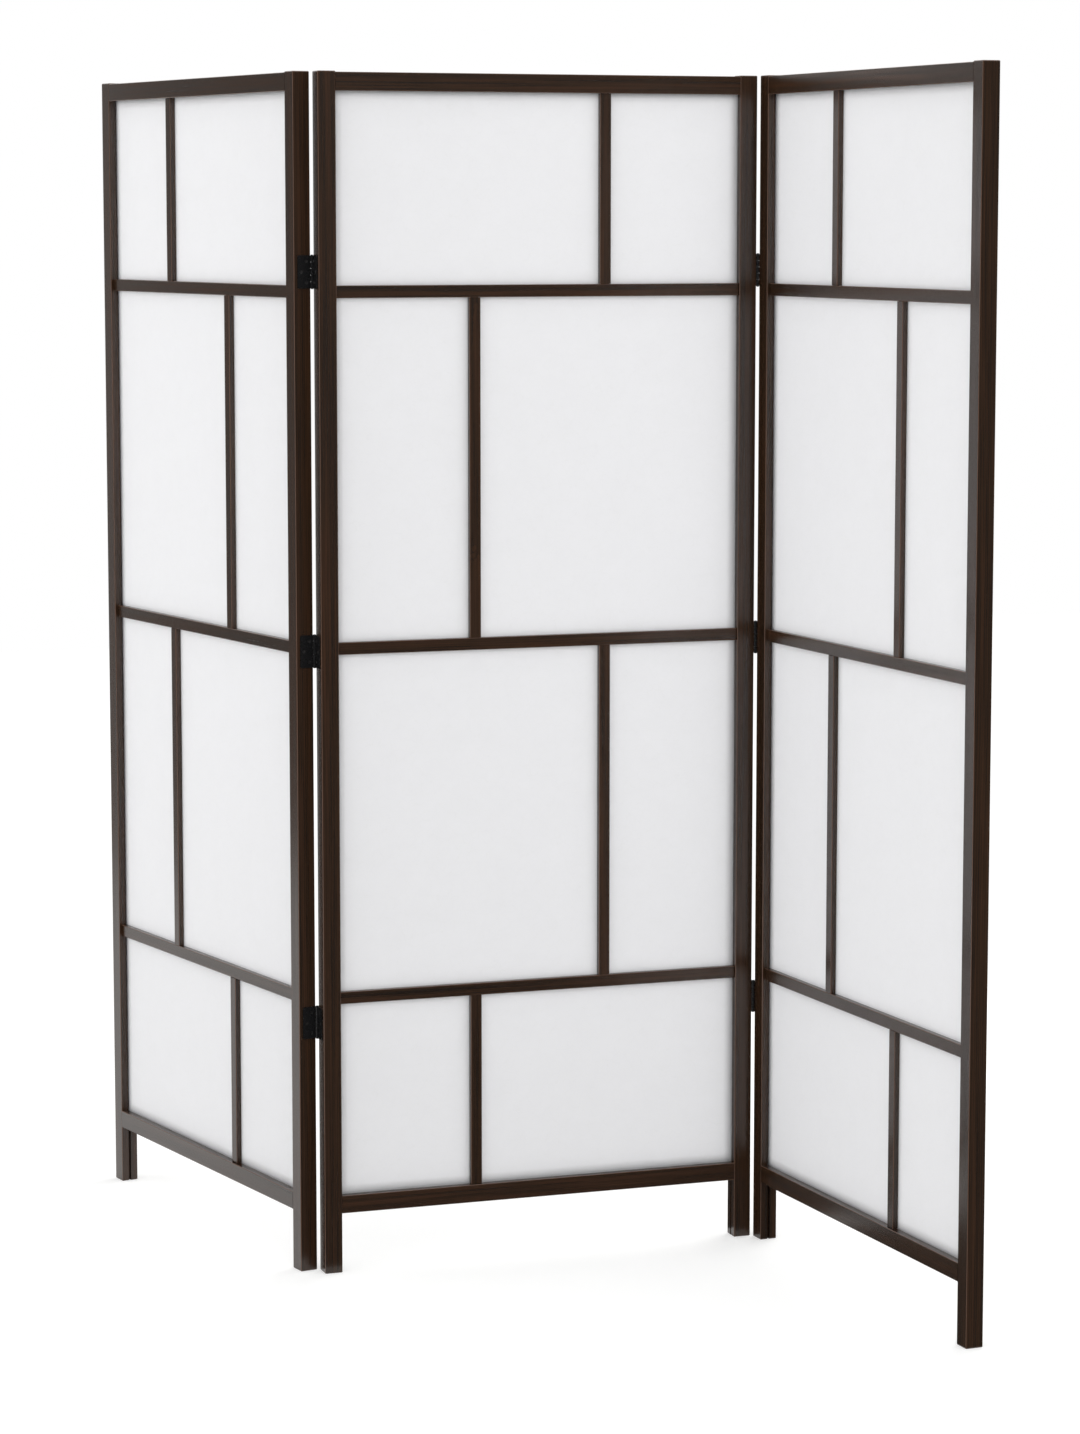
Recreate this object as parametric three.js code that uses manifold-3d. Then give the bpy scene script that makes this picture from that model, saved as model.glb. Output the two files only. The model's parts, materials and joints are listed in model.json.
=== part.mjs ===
// Three-panel shoji folding screen, standing in a zigzag.
// Millimetres, +Z up. The middle panel runs along X and its front looks towards -Y.
// The origin is the middle of the footprint, on the floor.

import * as THREE from 'three';
import { mergeVertices } from 'three/addons/utils/BufferGeometryUtils.js';
import Module from 'manifold-3d';

const wasm = await Module();
wasm.setup();

// ---- Driving dimensions ----

// Frame of one panel
const PANEL_HEIGHT = 1850; // stile, floor to top
const PANEL_WIDTH = 714; // over both stiles
const FRAME_DEPTH = 28; // front face to back face
const STILE_WIDTH = 28; // stile, seen from the front
const RAIL_HEIGHT = 28; // top and bottom rail, seen from the front
const LEG_HEIGHT = 94; // floor to the bottom rail
const STILE_HORN = 1.5; // stile end above the top rail
const ARRIS = 0.8; // chamfer along the outer edges
const END_CHAMFER = 1.2; // chamfer round both ends of a stile

// Groove that holds the sheet and the rails' tongues
const GROOVE_WIDTH = 4;
const GROOVE_DEPTH = 6;
const FIT_GAP = 0.3; // free space left between pieces that meet

// Sheet
const SHEET_THICKNESS = 0.5;

// Lattice bars
const BAR_RECESS = 5; // bar face behind the frame face
const CROSSBAR_HEIGHT = 19;
const CROSSBAR_SPACING = 543; // centre to centre
const CROSSBAR_RISE = 5; // middle crossbar above the middle of the frame
const UPRIGHT_WIDTH = 18;
const TENON_THICKNESS = 4; // front to back
const TENON_LENGTH = 5;
const TENON_SETBACK = 1; // tenon face behind the bar face
const TENON_SHOULDER = 3; // bar edge to tenon edge

// Butt hinges: each leaf lies nearer the pin's centre than the barrel's outside, so that the
// panels stand closer together than the barrel is thick
const HINGE_SPACING = 578; // centre to centre
const LEAF_HEIGHT = 50;
const LEAF_THICKNESS = 1.4;
const LEAF_SETBACK = 1.7; // pin centre to the leaf's wood side
const LEAF_WIDTH = 24; // pin centre to the leaf's outer edge
const LEAF_CORNER = 2.5; // rounded outer corners
const BARREL_RADIUS = 2.7;
const KNUCKLE_COUNT = 5;
const KNUCKLE_GAP = 0.3; // between knuckles, and from a knuckle to the other leaf
const AXIS_OFFSET = 1.6; // pin centre outside the panel's face
const PIN_RADIUS = 1.2;
const PIN_CLEARANCE = 0.25; // pin to bore
const PIN_HEAD_RADIUS = 2.1;
const PIN_HEAD_HEIGHT = 0.8;
const PIN_HEAD_EDGE = 0.4; // straight side of the head, below its slope
const PIN_CROWN_RADIUS = 1.3; // flat top of the head

// Countersunk holes in each leaf: a pair near the barrel and a third one further out
const HOLE_RADIUS = 1.9;
const COUNTERSINK_RADIUS = 3;
const PAIR_REACH = 9.5; // pin centre to the pair
const PAIR_RISE = 16; // leaf middle to each of the pair
const LONE_REACH = 18; // pin centre to the third hole

// Angles between neighbouring panels, counted from lying in one plane
const LEFT_FOLD = 80;
const RIGHT_FOLD = 87;

// Faces round the barrel, bore and pin, and round a screw hole
const ROUND_FACES = 16;
const HOLE_FACES = 12;

// ---- Sizes that follow ----

const frameTop = PANEL_HEIGHT - STILE_HORN;
const frameMiddle = (frameTop + LEG_HEIGHT) / 2;
const clearWidth = PANEL_WIDTH - 2 * STILE_WIDTH;
const topRailUnderside = frameTop - RAIL_HEIGHT;
const bottomRailTop = LEG_HEIGHT + RAIL_HEIGHT;
const middleDepth = FRAME_DEPTH / 2;
const sheetFront = middleDepth - SHEET_THICKNESS / 2;
const barDepth = sheetFront - FIT_GAP - BAR_RECESS;
const narrowCell = (clearWidth - UPRIGHT_WIDTH) / 3; // the wide cell is twice this
const panelGap = 2 * (LEAF_SETBACK + FIT_GAP); // stile to stile, with the panels in one plane
const grooveReach = GROOVE_DEPTH - FIT_GAP; // how far a sheet or tongue enters its groove
const knuckleLength = LEAF_HEIGHT / KNUCKLE_COUNT;

const crossbarMiddle = frameMiddle + CROSSBAR_RISE;
const crossbarHeights = [1, 0, -1].map((step) => crossbarMiddle + step * CROSSBAR_SPACING);
const hingeHeights = [1, 0, -1].map((step) => frameMiddle + step * HINGE_SPACING);

// Rows of cells from the top down: the bounds of each, and whether its upright stands left
const rowBounds = [topRailUnderside, ...crossbarHeights, bottomRailTop];
const rows = rowBounds.slice(1).map((below, index) => {
  const lowIsBar = index < crossbarHeights.length;
  const highIsBar = index > 0;
  return {
    low: below + (lowIsBar ? CROSSBAR_HEIGHT / 2 : 0),
    high: rowBounds[index] - (highIsBar ? CROSSBAR_HEIGHT / 2 : 0),
    standsLeft: index % 2 === 0,
  };
});

// ---- Materials ----

const WOOD = { color: 0x33231d, roughness: 0.55, metalness: 0 };
const SHEET = { color: 0xe9e9e6, roughness: 0.9, metalness: 0 };
const BLACKENED = { color: 0x161515, roughness: 0.4, metalness: 0.8 };

// ---- Small helpers ----

// A closed solid for joining and cutting, from any geometry
function solid(geometry) {
  const bare = geometry.clone();
  bare.deleteAttribute('normal');
  bare.deleteAttribute('uv');
  const merged = mergeVertices(bare, 1e-4);
  const vertProperties = new Float32Array(merged.attributes.position.array);
  const triVerts = new Uint32Array(merged.index.array);
  return new wasm.Manifold(new wasm.Mesh({ numProp: 3, vertProperties, triVerts }));
}

// A named mesh from a solid
function mesh(name, body, look) {
  const { vertProperties, triVerts } = body.getMesh();
  const indexed = new THREE.BufferGeometry();
  indexed.setAttribute('position', new THREE.BufferAttribute(vertProperties, 3));
  indexed.setIndex(new THREE.BufferAttribute(triVerts, 1));
  const faceted = indexed.toNonIndexed();
  faceted.computeVertexNormals();
  const piece = new THREE.Mesh(faceted, new THREE.MeshStandardMaterial(look));
  piece.name = name;
  return piece;
}

// A square block between two corners
function block(low, high) {
  const size = high.map((value, axis) => value - low[axis]);
  const geometry = new THREE.BoxGeometry(...size);
  geometry.translate(...low.map((value, axis) => value + size[axis] / 2));
  return solid(geometry);
}

// A bar with a given cross-section: the section is drawn in (across, depth), the bar runs along
// +Z from low to high
function extrusion(points, low, high) {
  const shape = new THREE.Shape(points.map(([across, depth]) => new THREE.Vector2(across, depth)));
  const geometry = new THREE.ExtrudeGeometry(shape, { depth: high - low, bevelEnabled: false });
  geometry.translate(0, 0, low);
  return geometry;
}

// Lays a bar that runs along +Z down along +X: its width then goes down from zero
function layAlongX(geometry) {
  return geometry.rotateY(Math.PI / 2);
}

// A round bar about Z between two heights
function roundBar(radius, low, high) {
  const geometry = new THREE.CylinderGeometry(radius, radius, high - low, ROUND_FACES);
  geometry.rotateX(Math.PI / 2);
  geometry.translate(0, 0, (low + high) / 2);
  return solid(geometry);
}

// ---- Frame ----

// Depth of the tenons on the front bars and on the back bars
const frontTenon = {
  low: BAR_RECESS + TENON_SETBACK,
  high: BAR_RECESS + TENON_SETBACK + TENON_THICKNESS,
};
const backTenon = { low: FRAME_DEPTH - frontTenon.high, high: FRAME_DEPTH - frontTenon.low };

// A mortise round a tenon. The tenon points along X or Z, from a face at `face`, inwards in the
// direction `into`; `low` and `high` are the tenon's edges across it.
function mortise(along, face, into, low, high, tenon) {
  const tip = face + into * TENON_LENGTH;
  const reachLow = Math.min(face - into, tip);
  const reachHigh = Math.max(face - into, tip);
  const across = [low - FIT_GAP, high + FIT_GAP];
  const depth = [tenon.low - FIT_GAP, tenon.high + FIT_GAP];
  if (along === 'x') {
    return block([reachLow, depth[0], across[0]], [reachHigh, depth[1], across[1]]);
  }
  return block([across[0], depth[0], reachLow], [across[1], depth[1], reachHigh]);
}

// The room inside a stile's two chamfered ends: a block that narrows over its last millimetres
function easedEnds(low, high) {
  const [left, front, foot] = low;
  const [right, back, top] = high;
  const c = END_CHAMFER;
  const core = block([left + c, front + c, foot], [right - c, back - c, top]);
  const waist = block([left, front, foot + c], [right, back, top - c]);
  return wasm.Manifold.hull([core, waist]);
}

// Stile: square post with chamfered edges and ends, a full-length groove and mortises for the
// crossbars. Drawn with its inner face at x = 0 and the wood at x < 0, or at x > 0 with side = -1.
function stile(side) {
  const inner = 0;
  const outer = -side * STILE_WIDTH;
  const c = side * ARRIS;
  const points = [
    [outer + c, 0],
    [inner - c, 0],
    [inner, ARRIS],
    [inner, middleDepth - GROOVE_WIDTH / 2],
    [inner - side * GROOVE_DEPTH, middleDepth - GROOVE_WIDTH / 2],
    [inner - side * GROOVE_DEPTH, middleDepth + GROOVE_WIDTH / 2],
    [inner, middleDepth + GROOVE_WIDTH / 2],
    [inner, FRAME_DEPTH - ARRIS],
    [inner - c, FRAME_DEPTH],
    [outer + c, FRAME_DEPTH],
    [outer, FRAME_DEPTH - ARRIS],
    [outer, ARRIS],
  ];
  const near = Math.min(inner, outer);
  const far = Math.max(inner, outer);
  const ends = easedEnds([near, 0, 0], [far, FRAME_DEPTH, PANEL_HEIGHT]);
  let post = solid(extrusion(points, 0, PANEL_HEIGHT)).intersect(ends);
  for (const height of crossbarHeights) {
    const low = height - CROSSBAR_HEIGHT / 2 + TENON_SHOULDER;
    const high = height + CROSSBAR_HEIGHT / 2 - TENON_SHOULDER;
    for (const tenon of [frontTenon, backTenon]) {
      post = post.subtract(mortise('x', 0, -side, low, high, tenon));
    }
  }
  return post;
}

// Rail: runs between the stiles with a tongue at each end, a groove along the edge that faces the
// sheet, and mortises for one upright in front and one behind. `up` is 1 where the grooved edge
// looks up, and uprightMiddle is where that row's upright stands.
function rail(low, up, uprightMiddle) {
  const high = low + RAIL_HEIGHT;
  const edge = up > 0 ? high : low;
  const grooveBottom = edge - up * GROOVE_DEPTH;
  const points = [
    [low, ARRIS],
    [low + ARRIS, 0],
    [high - ARRIS, 0],
    [high, ARRIS],
    [high, FRAME_DEPTH - ARRIS],
    [high - ARRIS, FRAME_DEPTH],
    [low + ARRIS, FRAME_DEPTH],
    [low, FRAME_DEPTH - ARRIS],
  ].map(([height, depth]) => [-height, depth]);
  const body = solid(layAlongX(extrusion(points, FIT_GAP, clearWidth - FIT_GAP)));
  const halfTongue = GROOVE_WIDTH / 2 - FIT_GAP;
  const back = up > 0 ? low : high;
  const tongues = block(
    [-grooveReach, middleDepth - halfTongue, Math.min(back, grooveBottom)],
    [clearWidth + grooveReach, middleDepth + halfTongue, Math.max(back, grooveBottom)],
  );
  const groove = block(
    [-STILE_WIDTH, middleDepth - GROOVE_WIDTH / 2, Math.min(edge + up, grooveBottom)],
    [PANEL_WIDTH, middleDepth + GROOVE_WIDTH / 2, Math.max(edge + up, grooveBottom)],
  );
  let wood = body.add(tongues).subtract(groove);
  const halfTenon = UPRIGHT_WIDTH / 2 - TENON_SHOULDER;
  for (const tenon of [frontTenon, backTenon]) {
    const cut = mortise('z', edge, -up, uprightMiddle - halfTenon, uprightMiddle + halfTenon, tenon);
    wood = wood.subtract(cut);
  }
  return wood;
}

// Sheet: one flat rectangle that enters the grooves all round
function sheet() {
  return block(
    [-grooveReach, sheetFront, bottomRailTop - grooveReach],
    [clearWidth + grooveReach, sheetFront + SHEET_THICKNESS, topRailUnderside + grooveReach],
  );
}

// ---- Lattice ----

// Section of a front bar as (across, depth): the outer edges chamfered, the back edges square
function barSection(low, high) {
  return [
    [low, BAR_RECESS + ARRIS],
    [low + ARRIS, BAR_RECESS],
    [high - ARRIS, BAR_RECESS],
    [high, BAR_RECESS + ARRIS],
    [high, BAR_RECESS + barDepth],
    [low, BAR_RECESS + barDepth],
  ];
}

// Crossbar before its mortises are cut: it runs between the stiles, with a tenon at each end
function crossbarBlank(height) {
  const low = height - CROSSBAR_HEIGHT / 2;
  const high = height + CROSSBAR_HEIGHT / 2;
  const points = barSection(low, high).map(([up, depth]) => [-up, depth]);
  const body = solid(layAlongX(extrusion(points, FIT_GAP, clearWidth - FIT_GAP)));
  const tenons = block(
    [FIT_GAP - TENON_LENGTH, frontTenon.low, low + TENON_SHOULDER],
    [clearWidth - FIT_GAP + TENON_LENGTH, frontTenon.high, high - TENON_SHOULDER],
  );
  return body.add(tenons);
}

// Crossbar in front of the sheet, with a mortise for the upright above it and one for that below
function crossbar(height, uprightAbove, uprightBelow) {
  const low = height - CROSSBAR_HEIGHT / 2;
  const high = height + CROSSBAR_HEIGHT / 2;
  const halfTenon = UPRIGHT_WIDTH / 2 - TENON_SHOULDER;
  const above = mortise('z', high, -1, uprightAbove - halfTenon, uprightAbove + halfTenon, frontTenon);
  const below = mortise('z', low, 1, uprightBelow - halfTenon, uprightBelow + halfTenon, frontTenon);
  return crossbarBlank(height).subtract(above).subtract(below);
}

// Upright in front of the sheet, with a tenon at each end
function upright(middle, low, high) {
  const left = middle - UPRIGHT_WIDTH / 2;
  const right = middle + UPRIGHT_WIDTH / 2;
  const body = solid(extrusion(barSection(left, right), low + FIT_GAP, high - FIT_GAP));
  const tenons = block(
    [left + TENON_SHOULDER, frontTenon.low, low + FIT_GAP - TENON_LENGTH],
    [right - TENON_SHOULDER, frontTenon.high, high - FIT_GAP + TENON_LENGTH],
  );
  return body.add(tenons);
}

// Back lattice: the same crossbars and uprights behind the sheet, glued up as one grid. It is
// drawn in front and turned round the upright line through the panel's middle.
function backLattice(middles) {
  const mirrored = middles.map((middle) => clearWidth - middle);
  const [first, ...others] = crossbarHeights.map(crossbarBlank);
  let grid = first;
  for (const bar of others) {
    grid = grid.add(bar);
  }
  rows.forEach((row, index) => {
    grid = grid.add(upright(mirrored[index], row.low, row.high));
  });
  const turn = new THREE.Matrix4().makeRotationZ(Math.PI).setPosition(clearWidth, FRAME_DEPTH, 0);
  return grid.transform(turn.elements);
}

// ---- Panel ----

// One panel. Local x runs between the stiles' inner faces, from 0 to clearWidth; the group is
// shifted so that the panel's left end is at x = 0. A turned panel has its pattern mirrored.
function panel(name, turned) {
  const narrow = narrowCell + UPRIGHT_WIDTH / 2;
  const middles = rows.map((row) => (row.standsLeft === turned ? clearWidth - narrow : narrow));
  const group = new THREE.Group();
  const leftStile = mesh(`${name}_panel_left_stile`, stile(1), WOOD);
  const rightStile = mesh(`${name}_panel_right_stile`, stile(-1), WOOD);
  rightStile.position.x = clearWidth;
  group.add(leftStile, rightStile);
  const topRail = rail(topRailUnderside, -1, middles[0]);
  const bottomRail = rail(LEG_HEIGHT, 1, middles[middles.length - 1]);
  group.add(mesh(`${name}_panel_top_rail`, topRail, WOOD));
  group.add(mesh(`${name}_panel_bottom_rail`, bottomRail, WOOD));
  group.add(mesh(`${name}_panel_sheet`, sheet(), SHEET));
  crossbarHeights.forEach((height, index) => {
    const bar = crossbar(height, middles[index], middles[index + 1]);
    group.add(mesh(`${name}_panel_crossbar_${index + 1}`, bar, WOOD));
  });
  rows.forEach((row, index) => {
    const bar = upright(middles[index], row.low, row.high);
    group.add(mesh(`${name}_panel_upright_${index + 1}`, bar, WOOD));
  });
  group.add(mesh(`${name}_panel_back_lattice`, backLattice(middles), WOOD));
  group.position.x = STILE_WIDTH;
  const whole = new THREE.Group();
  whole.add(group);
  return whole;
}

// ---- Hinge ----

// Countersunk hole through a leaf, in the leaf's own face plane: the hole runs along +Z from the
// wood side at z = 0 to the face at z = LEAF_THICKNESS, where it widens
function screwHole(reach, rise) {
  const sinkDepth = COUNTERSINK_RADIUS - HOLE_RADIUS;
  const profile = [
    [0, -1],
    [HOLE_RADIUS, -1],
    [HOLE_RADIUS, LEAF_THICKNESS - sinkDepth],
    [COUNTERSINK_RADIUS, LEAF_THICKNESS],
    [COUNTERSINK_RADIUS, LEAF_THICKNESS + 1],
    [0, LEAF_THICKNESS + 1],
  ].map(([radius, height]) => new THREE.Vector2(radius, height));
  const geometry = new THREE.LatheGeometry(profile, HOLE_FACES);
  geometry.rotateX(Math.PI / 2);
  geometry.translate(reach, rise, 0);
  return solid(geometry);
}

// Leaf with its knuckles: a plate with two rounded outer corners, joined to a barrel about Z.
// The plate lies on the +X side of the pin and reaches out along -Y. `owns` tells which knuckles,
// counted from the top, belong to this leaf; the others are cut away.
function leaf(owns) {
  const half = LEAF_HEIGHT / 2;
  const outline = new THREE.Shape();
  outline.moveTo(0, -half);
  outline.lineTo(LEAF_WIDTH - LEAF_CORNER, -half);
  outline.absarc(LEAF_WIDTH - LEAF_CORNER, -half + LEAF_CORNER, LEAF_CORNER, -Math.PI / 2, 0, false);
  outline.absarc(LEAF_WIDTH - LEAF_CORNER, half - LEAF_CORNER, LEAF_CORNER, 0, Math.PI / 2, false);
  outline.lineTo(0, half);
  const geometry = new THREE.ExtrudeGeometry(outline, {
    depth: LEAF_THICKNESS,
    bevelEnabled: false,
    curveSegments: 4,
  });
  let plate = solid(geometry);
  for (const [reach, rise] of [[PAIR_REACH, PAIR_RISE], [PAIR_REACH, -PAIR_RISE], [LONE_REACH, 0]]) {
    plate = plate.subtract(screwHole(reach, rise));
  }
  const outwards = new THREE.Vector3(0, -1, 0);
  const upwards = new THREE.Vector3(0, 0, 1);
  const towardsPin = new THREE.Vector3(-1, 0, 0);
  const stand = new THREE.Matrix4().makeBasis(outwards, upwards, towardsPin);
  stand.setPosition(LEAF_SETBACK, 0, 0);
  let body = plate.transform(stand.elements).add(roundBar(BARREL_RADIUS, -half, half));
  for (let knuckle = 0; knuckle < KNUCKLE_COUNT; knuckle += 1) {
    if (!owns(knuckle)) {
      const low = half - (knuckle + 1) * knuckleLength - KNUCKLE_GAP / 2;
      const high = half - knuckle * knuckleLength + KNUCKLE_GAP / 2;
      body = body.subtract(roundBar(BARREL_RADIUS + KNUCKLE_GAP, low, high));
    }
  }
  return body.subtract(roundBar(PIN_RADIUS + PIN_CLEARANCE, -half - 1, half + 1));
}

// Pin with a low head riveted on at each end
function pin() {
  const seat = LEAF_HEIGHT / 2 + FIT_GAP;
  const end = [
    [PIN_RADIUS, seat],
    [PIN_HEAD_RADIUS, seat],
    [PIN_HEAD_RADIUS, seat + PIN_HEAD_EDGE],
    [PIN_CROWN_RADIUS, seat + PIN_HEAD_HEIGHT],
    [0, seat + PIN_HEAD_HEIGHT],
  ];
  const lower = end.map(([radius, height]) => [radius, -height]).reverse();
  const profile = [...lower, ...end].map(([radius, height]) => new THREE.Vector2(radius, height));
  const geometry = new THREE.LatheGeometry(profile, ROUND_FACES);
  geometry.rotateX(Math.PI / 2);
  return solid(geometry);
}

// Three hinges on one joint. The leaves of two knuckles go to the middle panel's group and the
// leaves of three knuckles to the side panel's, both with the joint's pin line at x = y = 0.
// On the left joint the middle panel stands on the +X side; `turn` swings that round to -X.
function hinges(name, turn, middleGroup, sideGroup) {
  const places = ['top', 'middle', 'bottom'];
  hingeHeights.forEach((height, index) => {
    const label = `${name}_hinge_${places[index]}`;
    const fixedLeaf = mesh(`${label}_two_knuckle_leaf`, leaf((knuckle) => knuckle % 2 === 1), BLACKENED);
    fixedLeaf.position.z = height;
    fixedLeaf.rotation.z = turn;
    middleGroup.add(fixedLeaf);
    const swingLeaf = mesh(`${label}_three_knuckle_leaf`, leaf((knuckle) => knuckle % 2 === 0), BLACKENED);
    const holder = new THREE.Group();
    swingLeaf.rotation.y = Math.PI;
    holder.add(swingLeaf, mesh(`${label}_pin`, pin(), BLACKENED));
    holder.position.z = height;
    holder.rotation.z = turn;
    sideGroup.add(holder);
  });
}

// ---- Screen ----

function screen() {
  const standing = new THREE.Group();
  standing.add(panel('middle', true));

  // The left joint's pins stand behind the panels
  const leftFixed = new THREE.Group();
  leftFixed.position.set(-panelGap / 2, FRAME_DEPTH + AXIS_OFFSET, 0);
  const leftSwing = new THREE.Group();
  leftSwing.position.copy(leftFixed.position);
  leftSwing.rotation.z = -THREE.MathUtils.degToRad(LEFT_FOLD);
  const leftPanel = panel('left', false);
  leftPanel.position.set(-panelGap / 2 - PANEL_WIDTH, -FRAME_DEPTH - AXIS_OFFSET, 0);
  leftSwing.add(leftPanel);
  hinges('left', 0, leftFixed, leftSwing);

  // The right joint's pins stand in front of the panels
  const rightFixed = new THREE.Group();
  rightFixed.position.set(PANEL_WIDTH + panelGap / 2, -AXIS_OFFSET, 0);
  const rightSwing = new THREE.Group();
  rightSwing.position.copy(rightFixed.position);
  rightSwing.rotation.z = -THREE.MathUtils.degToRad(RIGHT_FOLD);
  const rightPanel = panel('right', false);
  rightPanel.position.set(panelGap / 2, AXIS_OFFSET, 0);
  rightSwing.add(rightPanel);
  hinges('right', Math.PI, rightFixed, rightSwing);

  standing.add(leftFixed, leftSwing, rightFixed, rightSwing);

  // Centre the footprint on the origin
  standing.updateMatrixWorld(true);
  const footprint = new THREE.Box3().setFromObject(standing, true);
  const centre = footprint.getCenter(new THREE.Vector3());
  standing.position.set(-centre.x, -centre.y, 0);
  const object = new THREE.Group();
  object.add(standing);
  return object;
}

export default screen();
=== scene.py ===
"""Three-panel shoji folding screen: dark stained wooden panels with translucent sheets, joined by
black butt hinges. Metres, +Z up; the middle panel runs along X and looks towards -Y."""

import json
import math

import bpy
import numpy as np
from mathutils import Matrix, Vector


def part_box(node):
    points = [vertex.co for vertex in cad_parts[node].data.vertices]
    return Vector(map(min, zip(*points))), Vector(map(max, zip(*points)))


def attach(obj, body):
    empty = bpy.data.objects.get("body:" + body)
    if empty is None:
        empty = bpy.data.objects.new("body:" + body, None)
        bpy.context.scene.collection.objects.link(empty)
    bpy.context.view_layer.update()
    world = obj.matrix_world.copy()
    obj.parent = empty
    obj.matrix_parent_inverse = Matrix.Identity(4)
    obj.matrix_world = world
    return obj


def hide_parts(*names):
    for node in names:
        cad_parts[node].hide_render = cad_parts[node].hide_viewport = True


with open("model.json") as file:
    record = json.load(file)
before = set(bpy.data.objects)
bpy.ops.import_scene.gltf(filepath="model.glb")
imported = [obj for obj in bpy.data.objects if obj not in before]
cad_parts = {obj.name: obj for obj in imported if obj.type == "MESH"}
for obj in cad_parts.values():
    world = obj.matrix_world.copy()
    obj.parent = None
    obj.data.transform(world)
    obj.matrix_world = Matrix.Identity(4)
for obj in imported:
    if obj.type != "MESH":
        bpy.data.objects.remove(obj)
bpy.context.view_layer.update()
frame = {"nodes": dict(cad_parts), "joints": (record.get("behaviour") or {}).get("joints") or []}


# ---- Panels -------------------------------------------------------------------------------------
# Each panel is a frame of two square posts and two rails, put together with tongues and grooves.
# The joints of the CAD place it: a side panel is the middle one slid sideways and then turned about
# the pins of its hinges.

PANEL_WIDTH = 0.714
PANEL_STEP = 0.718  # from one panel's left end to the next, while they stand in line
FRAME_DEPTH = 0.028
FOLD = {"left": math.radians(80), "middle": 0.0, "right": math.radians(87)}
SLIDE = {"left": -PANEL_STEP, "middle": 0.0, "right": PANEL_STEP}

middle_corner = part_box("middle_panel_left_stile")[0]
pins = {joint["name"].split("_")[0]: joint["pos_m"] for joint in frame["joints"]}
pins["middle"] = (0.0, 0.0, 0.0)


def stand_up(panel, across, depth, height):
    """Places points of a panel in the row frame. They come as distances from the panel's left end,
    its front face and the floor. They are slid to the panel's place in line, and then turned
    clockwise about its hinge pins by its fold: x' = px + dx cos f + dy sin f, and
    y' = py - dx sin f + dy cos f, where dx and dy are measured from the pins."""
    turn = FOLD[panel]
    pin_x, pin_y = pins[panel][0], pins[panel][1]
    dx = middle_corner.x + SLIDE[panel] + across - pin_x
    dy = middle_corner.y + depth - pin_y
    x = pin_x + dx * math.cos(turn) + dy * math.sin(turn)
    y = pin_y - dx * math.sin(turn) + dy * math.cos(turn)
    return np.stack(np.broadcast_arrays(x, y, height), axis=-1)


# ---- Posts, rails and bars ----------------------------------------------------------------------
# Sawn spruce, planed smooth, stained dark brown and finished with a satin lacquer. The stain goes
# dark in the end grain and leaves the growth rings just visible. The arrises are painted lighter:
# partly stain worn thin there, partly a painted highlight line along the edges.
# Their shapes are the CAD's own, with their arrises, grooves, tenons and mortises.

STAIN_DEEP = "#20150d"
STAIN = "#302014"
STAIN_WARM = "#412a1c"
# Lighter brown for the arrises: stain worn thin, and partly a painted highlight along the edges
ARRIS_WORN_AND_HIGHLIGHT = "#6e5548"
STAIN_END = "#190f0a"
RING_WIDTH = 0.0026  # one year's growth
FIBRE_WIDTH = 0.0011
STREAK_WIDTH = 0.006  # where the stain took more or less; this is what shows from afar
WAVE_PERIOD = math.pi / 10  # Wave Texture's ring period at scale 1
CROSSBAR_HEIGHTS = (1.51925, 0.97625, 0.43325)
CROSSBAR_HALF = 0.0096
PITH_NEAREST, PITH_FURTHEST = 0.035, 0.09
BOARD_LENGTH = 9  # metres of grain that a piece may be cut from
BENDS_PER_METRE = 9
BEND_STRETCH = 0.12  # the rings bend this much more slowly along the grain
RING_BEND = 0.02  # metres, from side to side
FIBRE_STRETCH = 0.02  # fibres and streaks are fifty times as long as they are wide
RING_SHARE, FIBRE_SHARE = 0.18, 0.25  # of the tone, next to the streaks
TONE_LOW, TONE_HIGH = 0.42, 1.02  # where the stain is deepest and warmest
TONE_SHIFT = 0.04  # from piece to piece, either way
ARRIS_STARTS, ARRIS_FULL, ARRIS_SHARE = 0.95, 0.75, 0.7  # by the largest part of the normal
END_STARTS, END_FULL, END_SHARE = 0.8, 0.95, 0.8  # by the normal's part along the grain
LACQUER_DULL, LACQUER_BRIGHT = 0.28, 0.18  # roughness, on deep and on warm stain
LACQUER_IOR = 1.5
GRAIN_RELIEF, GRAIN_DEPTH = 0.25, 0.0001


def linear(hex_colour):
    """sRGB hex to linear RGBA: values up to 0.04045 are divided by 12.92, the rest follow the
    power 2.4 curve."""
    values = [int(hex_colour[i : i + 2], 16) / 255 for i in (1, 3, 5)]
    curved = [v / 12.92 if v <= 0.04045 else ((v + 0.055) / 1.055) ** 2.4 for v in values]
    return (*curved, 1.0)


def add(tree, kind, settings=None, links=None):
    """Adds a node. A setting is one of the node's own attributes or the value of an input; a link
    names an input and the output that feeds it."""
    node = tree.nodes.new(kind)
    for key, value in (settings or {}).items():
        if isinstance(key, str) and hasattr(node, key):
            setattr(node, key, value)
        else:
            node.inputs[key].default_value = value
    for key, output in (links or {}).items():
        tree.links.new(output, node.inputs[key])
    return node


def bare_material(name):
    """An empty node material and its tree."""
    material = bpy.data.materials.new(name)
    material.use_nodes = True
    material.node_tree.nodes.clear()
    return material, material.node_tree


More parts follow.
